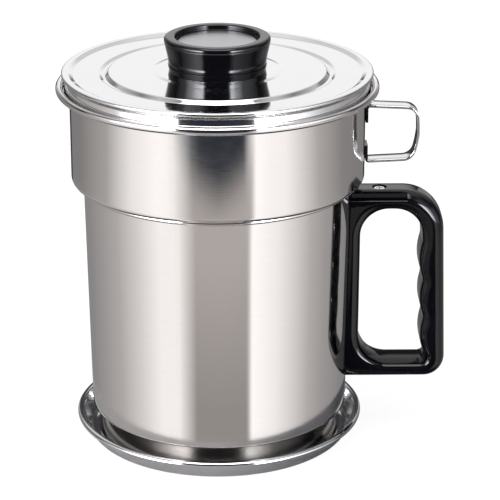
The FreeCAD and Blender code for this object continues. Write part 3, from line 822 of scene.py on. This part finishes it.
def handle_window():
    """Outline of the finger window with the direction into the material at each point."""
    low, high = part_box("pot_handle")
    top, bottom = high.z / MM, low.z / MM
    high_edge, low_edge, inner, length, lean = top - 7.5, bottom + 7.7, 59.9, 25.6, 2.75
    rise, drop, wave = 2.9, 14.7, 2.3
    far = inner + length
    first = low_edge + rise
    step = (high_edge - drop - first) / 6
    corners = [(inner, high_edge, 12.0), (inner - 0.3, low_edge, 13.0), (far + lean, low_edge, 2.0)]
    for k in range(7):
        z = first + k * step
        hollow = far + lean * (top - z) / (top - bottom)
        corners.append((hollow, z, 6.0) if k % 2 == 0 else (hollow - wave, z, 23.0))
    corners.append((far, high_edge, 11.7))
    line = np.array(rounded_line(corners, closed=True, step=0.09, spacing=0.9))
    keep = np.hypot(*(line[:, :2] - np.roll(line[:, :2], 1, axis=0)).T) > 1e-4
    line = line[keep]
    return line[:, :2], -line[:, 2:]


def distances(points, line, closed):
    """Distance from each point to a line of straight steps."""
    ends = np.roll(line, -1, axis=0) if closed else line[1:]
    starts = line if closed else line[:-1]
    run = ends - starts
    length = (run ** 2).sum(axis=1) + 1e-12
    best = np.full(len(points), 1e9)
    for start, along, size in zip(starts, run, length):
        t = np.clip(((points - start) @ along) / size, 0, 1)
        gap = points - start - t[:, None] * along
        best = np.minimum(best, np.hypot(gap[:, 0], gap[:, 1]))
    return best


def first_hits(points, ways, line):
    """How far each point travels along its way before it meets a closed line."""
    starts, ends = line, np.roll(line, -1, axis=0)
    run = ends - starts
    reach = np.full(len(points), 1e9)
    for start, along in zip(starts, run):
        cross = ways[:, 0] * along[1] - ways[:, 1] * along[0]
        cross = np.where(np.abs(cross) < 1e-12, 1e-12, cross)
        gap = start - points
        far = (gap[:, 0] * along[1] - gap[:, 1] * along[0]) / cross
        share = (gap[:, 0] * ways[:, 1] - gap[:, 1] * ways[:, 0]) / cross
        hit = (far > 1e-6) & (share >= -1e-9) & (share <= 1 + 1e-9)
        reach = np.where(hit & (far < reach), far, reach)
    return reach


def ease(z, low, high):
    """Smooth step from 0 to 1 between two heights."""
    t = np.clip((z - low) / (high - low), 0, 1)
    return t * t * (3 - 2 * t)


def handle_heights(points, outside, window):
    """Half width of the handle at each point of its side view."""
    z = points[:, 1]
    top = ease(z, 94.0, 103.0)
    low = 1 - ease(z, 33.0, 42.0)
    outer_reach = 4.4 + 1.1 * top
    inner_reach = 3.8 + 1.2 * top - 0.8 * low
    inner_drop = 3.0 + 5.5 * low
    outer_drop = HANDLE_HALF - CROWN_HALF
    u = np.clip(1 - distances(points, outside, False) / outer_reach, 0, 1)
    v = np.clip(1 - distances(points, window, True) / inner_reach, 0, 1)
    both = np.clip((u ** 3 + v ** 3) ** (1 / 3), 0, 1)
    drop = (outer_drop * u ** 3 + inner_drop * v ** 3) / (u ** 3 + v ** 3 + 1e-12)
    return HANDLE_HALF - drop * (1 - np.sqrt(1 - both ** 2))


def handle_mesh():
    """Closed moulding between the outside and the window, before anything is cut from it."""
    outside = handle_outside()
    window, ways = handle_window()
    closed = np.vstack([outside, outside[:1]])
    reach = first_hits(window, ways, closed)
    round_steps = 1 - np.cos(np.linspace(0, math.pi / 2, 9))
    near = round_steps * 0.42
    across = np.concatenate([near, [0.5], 1 - near[::-1]])
    rows = len(window)
    columns = len(across)
    points = window[:, None, :] + across[None, :, None] * (reach[:, None, None] * ways[:, None, :])
    flat = points.reshape(-1, 2)
    half = handle_heights(flat, outside, window).reshape(rows, columns)
    sides = [np.stack([points[..., 0], sign * half, points[..., 1]], axis=-1) for sign in (1, -1)]
    shares = np.linspace(1, -1, 5)[1:-1]
    strips = [np.stack([np.repeat(points[:, column, :1], 3, axis=1),
                        half[:, column, None] * shares[None, :],
                        np.repeat(points[:, column, 1:], 3, axis=1)], axis=-1)
              for column in (0, columns - 1)]
    ring = np.concatenate([sides[0], strips[1], sides[1][:, ::-1], strips[0][:, ::-1]], axis=1)
    width = ring.shape[1]
    faces = []
    for i in range(rows):
        j = (i + 1) % rows
        for k in range(width):
            m = (k + 1) % width
            faces.append((i * width + k, j * width + k, j * width + m, i * width + m))
    return flat_mesh("Handle_blank", (ring.reshape(-1, 3) * MM).tolist(), faces)


def prism(name, rings):
    """Closed shape between two rings of as many corners, in millimetres."""
    count = len(rings[0])
    corners = [(x * MM, y * MM, z * MM) for ring in rings for x, y, z in ring]
    faces = [tuple(range(count - 1, -1, -1)), tuple(range(count, 2 * count))]
    for i in range(count):
        j = (i + 1) % count
        faces.append((i, j, j + count, i + count))
    return flat_mesh(name, corners, faces)


def box_cutter(name, x, y, z):
    """Closed box between two values on each axis."""
    section = [(y[0], z[0]), (y[1], z[0]), (y[1], z[1]), (y[0], z[1])]
    return prism(name, [[(a, b, c) for b, c in section] for a in x])


def ledge_cutter(name, side, end, ledge, above):
    """Closed bar over one ledge, shaped so that the ledge's outer edge comes out rounded."""
    centre, radius, first, beyond = 8.33, 0.93, math.radians(20), 20
    section = [(6.6, above), (6.6, ledge)]
    for i in range(7):
        angle = math.pi / 2 + (first - math.pi / 2) * i / 6
        section.append((centre + radius * math.cos(angle),
                        ledge - radius + radius * math.sin(angle)))
    y, z = section[-1]
    section += [(beyond, z + (beyond - y) * math.tan(first)), (beyond, above)]
    return prism(name, [[(x, side * y, z) for y, z in section] for x in (INSIDE, end)])


def cone_cutter(name, x, low, high, low_z, high_z, count=256):
    """Closed round cutter with its own radius at each end."""
    angles = [2 * math.pi * i / count for i in range(count)]
    return prism(name, [[(x + radius * math.cos(angle), radius * math.sin(angle), z)
                         for angle in angles] for radius, z in ((low, low_z), (high, high_z))])


def handle_cutters():
    """All that is cut from the blank: the pot's wall, the crown's ledges and the pockets."""
    low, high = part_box("pot_handle")
    top, bottom = high.z / MM, low.z / MM
    _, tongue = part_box("handle_bracket")
    tongue_top, tongue_end = tongue.z / MM, tongue.x / MM
    clear = 0.2
    nut_low = extent("tongue_nut")[0] - clear
    screw_low, screw_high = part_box("handle_screw")
    screw_x = (screw_low.x + screw_high.x) / 2 / MM
    ledge, end, over = top - 3.2, 79.3, 4.0
    under, above = bottom - over, top + over
    lug_low, lug_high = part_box("handle_lug")
    lug = (lug_low.z / MM - clear, lug_high.z / MM + clear)
    return [
        cone_cutter("wall", 0, wall_radius(under) + WALL_GAP, wall_radius(above) + WALL_GAP,
                    under, above),
        ledge_cutter("near_ledge", -1, end, ledge, above),
        ledge_cutter("far_ledge", 1, end, ledge, above),
        box_cutter("plate", (INSIDE, 57.8), (-6.7, 6.7), (tongue_top - 15.4, tongue_top + clear)),
        box_cutter("tongue", (INSIDE, tongue_end + clear), (-5.5, 5.5),
                   (tongue_top - 1.4, tongue_top + clear)),
        box_cutter("nut", (INSIDE, screw_x + 3.1), (-3.1, 3.1), (nut_low, tongue_top - 1.3)),
        cone_cutter("shank", screw_x, 1.7, 1.7, nut_low, above, 48),
        cone_cutter("recess", screw_x, 3.1, 3.1, top - 2.0, above, 64),
        box_cutter("lug", (INSIDE, 58.0), (-6.2, 6.2), lug),
    ]


def cut_mesh(name, blank, cutters):
    """Blank with every cutter taken away."""
    work = placed(name + "_blank", blank)
    for mesh in [blank] + cutters:
        turn_outward(mesh)
    tools = []
    for mesh in cutters:
        tool = placed(name + "_" + mesh.name, mesh)
        tools.append(tool)
        modifier = work.modifiers.new(mesh.name, "BOOLEAN")
        modifier.operation = "DIFFERENCE"
        modifier.solver = "MANIFOLD"
        modifier.object = tool
    return made_mesh(name, work, tools)


class GREASEPOT_OT_handle(bpy.types.Operator):
    """Mould the D handle and finish the metal that holds it"""
    bl_idname = "greasepot.handle"
    bl_label = "D handle"

    def execute(self, context):
        made = cut_mesh("MouldedHandle", handle_mesh(), handle_cutters())
        if not made.polygons:
            raise RuntimeError("the handle's cuts left nothing")
        made.materials.clear()
        made.materials.append(plastic())
        new_piece("MouldedHandle", made, "pot", ["pot_handle"])
        for node in ("handle_bracket", "handle_lug", "tongue_nut"):
            carried(node, plain_steel())
        carried("handle_screw", bright_steel())
        return {"FINISHED"}


# ---- stage ----

DARK = (0.018, 0.027, 0.042)
LOW_SKY = [
    (-180, 0.25, 0.25, 0.25), (-150, 0.3, 0.3, 0.3), (-120, 0.44, 0.43, 0.43),
    (-97, 0.58, 0.56, 0.55), (-74, 0.88, 0.86, 0.85), (-52, 1.25, 1.23, 1.22),
    (-38, 1.25, 1.23, 1.22), (-28.5, 0.56, 0.57, 0.6), (-20, 0.1, 0.11, 0.13), (-14, *DARK),
    (20, *DARK), (28.5, 1.42, 1.4, 1.4), (52, 1.2, 1.18, 1.17), (87, 0.6, 0.58, 0.57),
    (105, 0.45, 0.44, 0.44), (150, 0.27, 0.27, 0.27), (180, 0.25, 0.25, 0.25)]
MID_SKY = [
    (-180, 1.12, 1.12, 1.14), (-168, 1.1, 1.1, 1.12), (-158, 0.5, 0.5, 0.5),
    (-146, 0.3, 0.3, 0.3), (-108, 0.03, 0.03, 0.04), (-80, 1.2, 1.2, 1.3),
    (-60, 9.0, 8.9, 9.4), (-46, 21.0, 20.7, 22.0), (-35, 28.0, 27.5, 29.5),
    (-29, 0.03, 0.035, 0.05), (27, 0.03, 0.035, 0.05), (32, 30.0, 31.3, 33.3),
    (43, 12.0, 12.5, 13.2), (60, 2.0, 2.1, 2.2), (108, 0.03, 0.03, 0.04),
    (146, 0.3, 0.3, 0.3), (158, 0.5, 0.5, 0.5), (168, 1.1, 1.1, 1.12),
    (180, 1.12, 1.12, 1.14)]
UPPER_SKY = [
    (-180, 0.8, 0.8, 0.82), (-140, 0.75, 0.75, 0.77), (-98, 0.05, 0.05, 0.07),
    (-75, 1.2, 1.2, 1.27), (-50, 3.3, 3.3, 3.5), (-41, 2.9, 2.9, 3.1),
    (-34, 0.03, 0.035, 0.05), (30, 0.03, 0.035, 0.05), (44, 1.35, 1.4, 1.5),
    (60, 0.9, 0.9, 1.0), (98, 0.05, 0.05, 0.07), (140, 0.75, 0.75, 0.77),
    (180, 0.8, 0.8, 0.82)]
HIGH_SKY = [
    (-180, 1.0, 1.0, 1.02), (-110, 0.9, 0.9, 0.92), (-60, 0.12, 0.12, 0.13),
    (60, 0.12, 0.12, 0.13), (110, 0.9, 0.9, 0.92), (180, 1.0, 1.0, 1.02)]
BELOW = (0.05, 0.05, 0.06)
FAR_TABLE = [
    (-180, 0.19, 0.19, 0.19), (-125, 0.28, 0.275, 0.275), (-90, 0.5, 0.49, 0.48),
    (-66, 1.13, 1.11, 1.1), (-46, 1.35, 1.33, 1.32), (36, 1.3, 1.28, 1.28),
    (50, 1.26, 1.24, 1.23), (79, 0.55, 0.53, 0.52), (106, 0.31, 0.3, 0.3),
    (180, 0.19, 0.19, 0.19)]


def azimuth(tree, axes):
    """Direction round the pot in radians: 0 is the camera's side."""
    return maths(tree, "ARCTAN2", axes[0], maths(tree, "MULTIPLY", axes[1], -1.0))


def around(tree, turn, stops):
    """Colours from rows of a direction round the pot in degrees and its red, green and blue."""
    share = ranged(tree, turn, -math.pi, math.pi)
    ramp = add(tree, "ShaderNodeValToRGB", {0: share})
    bar = ramp.color_ramp
    while len(bar.elements) < len(stops):
        bar.elements.new(0.5)
    for element, (angle, *colour) in zip(bar.elements, stops):
        element.position = (angle + 180) / 360
        element.color = (*colour, 1)
    return ramp.outputs[0]


def for_camera(tree, others, camera_sees, end):
    """Ends a tree with one shader for the camera and one for everything else."""
    seen = add(tree, "ShaderNodeLightPath").outputs["Is Camera Ray"]
    both = add(tree, "ShaderNodeMixShader", {0: seen, 1: others, 2: camera_sees})
    add(tree, "ShaderNodeOutput" + end, {0: both})


def sky():
    """World that is white to the camera and a soft studio to everything else."""
    world = bpy.data.worlds.new("Studio")
    world.use_nodes = True
    tree = world.node_tree
    tree.nodes.clear()
    axes = axes_of(tree, add(tree, "ShaderNodeTexCoord").outputs["Generated"])
    turn = azimuth(tree, axes)
    whole = BELOW
    for first, last, zone in ((-0.85, -0.65, LOW_SKY), (-0.1, -0.04, MID_SKY),
                              (0.38, 0.46, UPPER_SKY), (0.72, 0.84, HIGH_SKY)):
        whole = blended(tree, ranged(tree, axes[2], first, last), whole, around(tree, turn, zone))
    studio = add(tree, "ShaderNodeBackground", {"Color": whole, "Strength": 1.0})
    white = add(tree, "ShaderNodeBackground", {"Color": (1, 1, 1, 1), "Strength": 1.0})
    for_camera(tree, studio, white, "World")
    bpy.context.scene.world = world


def empty_tree(name, mesh):
    """Tree without nodes, of a new material on a mesh."""
    material = bpy.data.materials.new(name)
    material.use_nodes = True
    material.node_tree.nodes.clear()
    mesh.materials.append(material)
    return material.node_tree


def floor():
    """Plain pale floor that keeps the pot's soft shadow."""
    size, matt_part, glow_part = 4.0, 0.13, 0.88
    mesh = flat_mesh("Floor", [(-size, -size, 0), (size, -size, 0), (size, size, 0),
                               (-size, size, 0)], [(0, 1, 2, 3)])
    obj = placed("Floor", mesh)
    obj.location.z = -0.00005
    tree = empty_tree("Pale floor", mesh)
    colour = (*settings().stage.floor_colour, 1)
    matt = add(tree, "ShaderNodeBsdfDiffuse", {"Color": colour})
    part = add(tree, "ShaderNodeBsdfDiffuse", {"Color": (matt_part, matt_part, matt_part, 1)})
    glow = add(tree, "ShaderNodeEmission", {"Color": (1, 1, 1, 1), "Strength": glow_part})
    shown = add(tree, "ShaderNodeAddShader", {0: part, 1: glow})
    for_camera(tree, matt, shown, "Material")
    obj.visible_glossy = False


def mirrored(name, corners, faces, height=0.0):
    """Stage piece that only shows in mirrored light: its empty tree and places on it."""
    mesh = flat_mesh(name, corners, faces)
    obj = placed(name, mesh)
    obj.location.z = height
    tree = empty_tree(name, mesh)
    for ray in ("camera", "diffuse", "transmission", "volume_scatter", "shadow"):
        setattr(obj, "visible_" + ray, False)
    place = object_place(tree)
    return tree, place, axes_of(tree, place)


def glowing(tree, colour, unseen):
    """Ends a tree with a glow that is clear where unseen is 1."""
    glow = add(tree, "ShaderNodeEmission", {"Color": colour, "Strength": 1.0})
    clear = add(tree, "ShaderNodeBsdfTransparent")
    soft = add(tree, "ShaderNodeMixShader", {0: unseen, 1: glow, 2: clear})
    add(tree, "ShaderNodeOutputMaterial", {0: soft})


def table_front():
    """Part of the table in front of the pot that its walls mirror, paler away from the pot."""
    near, far = 0.055, 0.48
    corners = [(-0.03, -near, 0), (-0.37, -far, 0), (0.37, -far, 0), (0.03, -near, 0)]
    tree, _, axes = mirrored("TableFront", corners, [(0, 1, 2, 3)], -0.00002)
    colour = blended(tree, ranged(tree, axes[1], -0.11, -0.28),
                     (0.385, 0.365, 0.355), (0.58, 0.545, 0.53))
    aside = maths(tree, "DIVIDE", axes[0], ranged(tree, axes[1], -near, -far, 0.014, 0.224))
    colour = blended(tree, ranged(tree, aside, -0.7, -1.4), colour, (1.25, 1.23, 1.22))
    across = maths(tree, "ABSOLUTE", axes[0])
    depth = maths(tree, "ADD", axes[1], maths(tree, "MULTIPLY", across, 0.12))
    unseen = 0.0
    for value, first, last in ((aside, -1.4, -1.6), (aside, 0.88, 1.12), (depth, -0.385, -0.46)):
        unseen = maths(tree, "MAXIMUM", ranged(tree, value, first, last), unseen)
    glowing(tree, colour, unseen)


def circle(radius, count):
    """Corners of a circle on the table."""
    ways = [2 * math.pi * i / count for i in range(count)]
    return [(radius * math.cos(way), radius * math.sin(way), 0) for way in ways]


def table_far():
    """Table further out at the sides and behind, which only the strainer cup's wall mirrors."""
    near, far, count = 0.345, 0.9, 96
    faces = [(i, (i + 1) % count, count + (i + 1) % count, count + i) for i in range(count)]
    tree, place, axes = mirrored("TableFar", circle(near, count) + circle(far, count), faces,
                                 -0.00003)
    turn = azimuth(tree, axes)
    inside = ranged(tree, length_of(tree, place), 0.375, near)
    front = ranged(tree, maths(tree, "ABSOLUTE", turn), math.radians(40), math.radians(31))
    glowing(tree, around(tree, turn, FAR_TABLE), maths(tree, "MAXIMUM", inside, front))


def table_close():
    """Shaded table close round the tray, which the tray's sloping wall mirrors."""
    count, reach = 96, 0.085
    tree, _, axes = mirrored("TableClose", circle(reach, count), [tuple(range(count))], -0.00001)
    # painted shade: the table close round the tray is dark, and darker still towards the right
    colour = blended(tree, ranged(tree, axes[0], 0, 0.06), (0.27, 0.265, 0.26), (0.1, 0.1, 0.105))
    matt = add(tree, "ShaderNodeBsdfDiffuse", {"Color": colour})
    add(tree, "ShaderNodeOutputMaterial", {0: matt})


def back_shade():
    """Dark curved screen behind the pot, which only the low pieces mirror."""
    reach, height, steps = 0.35, 0.22, 12
    turns = [math.radians(60 + 60 * i / steps) for i in range(steps + 1)]
    corners = [(reach * math.cos(turn), reach * math.sin(turn), z)
               for turn in turns for z in (0, height)]
    faces = [(2 * i, 2 * i + 2, 2 * i + 3, 2 * i + 1) for i in range(steps)]
    tree, _, axes = mirrored("BackShade", corners, faces)
    glowing(tree, (0.05, 0.05, 0.055, 1), ranged(tree, axes[2], 0.17, height))


def lamp(name, place, aim, size, power):
    """Soft square lamp."""
    data = bpy.data.lights.new(name, "AREA")
    data.size = size
    data.energy = power
    obj = placed(name, data)
    obj.location = place
    obj.rotation_euler = (Vector(aim) - Vector(place)).to_track_quat("-Z", "Y").to_euler()


def camera():
    """Camera a little above the pot, aimed so that the pot stands left of the middle."""
    group = settings().stage
    distance, aim_height, sensor, aside = 0.96415, 0.08, 36, 0.0632
    data = bpy.data.cameras.new("Camera")
    data.lens = group.lens
    data.sensor_width = sensor
    data.clip_start = 0.01
    tilt = group.camera_height
    pan = math.atan(aside * sensor / group.lens)
    obj = placed("Camera", data)
    obj.location = (0, -distance * math.cos(tilt), distance * math.sin(tilt) + aim_height)
    ahead = Vector((math.sin(pan), math.cos(tilt) * math.cos(pan),
                    -math.sin(tilt) * math.cos(pan)))
    obj.rotation_euler = ahead.to_track_quat("-Z", "Y").to_euler()
    bpy.context.scene.camera = obj


class GREASEPOT_OT_stage(bpy.types.Operator):
    """Set up the world, the floor, what the steel mirrors, the lamp and the camera"""
    bl_idname = "greasepot.stage"
    bl_label = "Stage"

    def execute(self, context):
        sky()
        floor()
        table_front()
        table_far()
        table_close()
        back_shade()
        lamp("Overhead softbox", place=(0.0, -0.25, 1.3), aim=(0, 0, 0.05), size=0.9, power=12.0)
        camera()
        bpy.context.scene.view_settings.view_transform = "Standard"
        return {"FINISHED"}


# ---- panel and registration ----

OPERATORS = (
    GREASEPOT_OT_stage, GREASEPOT_OT_tray, GREASEPOT_OT_pot, GREASEPOT_OT_cup,
    GREASEPOT_OT_strainer, GREASEPOT_OT_loop, GREASEPOT_OT_lid, GREASEPOT_OT_knob,
    GREASEPOT_OT_handle,
)


class GREASEPOT_PT_panel(bpy.types.Panel):
    """Grease pot settings and steps"""
    bl_idname = "GREASEPOT_PT_panel"
    bl_label = "Grease pot"
    bl_space_type = "VIEW_3D"
    bl_region_type = "UI"
    bl_category = "Grease pot"

    def draw(self, context):
        group = context.scene.grease_pot
        for part in (group.steel, group.plastic, group.mesh, group.stage):
            box = self.layout.box()
            for key in part.__annotations__:
                box.prop(part, key)
        for step in OPERATORS:
            self.layout.operator(step.bl_idname)


CLASSES = (SteelSettings, PlasticSettings, MeshSettings, StageSettings, PotSettings,
           *OPERATORS, GREASEPOT_PT_panel)


def register():
    for item in CLASSES:
        bpy.utils.register_class(item)
    bpy.types.Scene.grease_pot = bpy.props.PointerProperty(type=PotSettings)


def unregister():
    del bpy.types.Scene.grease_pot
    for item in reversed(CLASSES):
        bpy.utils.unregister_class(item)


def main():
    register()
    bpy.ops.greasepot.stage()
    bpy.ops.greasepot.tray()
    bpy.ops.greasepot.pot()
    bpy.ops.greasepot.cup()
    bpy.ops.greasepot.strainer()
    bpy.ops.greasepot.loop()
    bpy.ops.greasepot.lid()
    bpy.ops.greasepot.knob()
    bpy.ops.greasepot.handle()


if __name__ == "__main__":
    main()
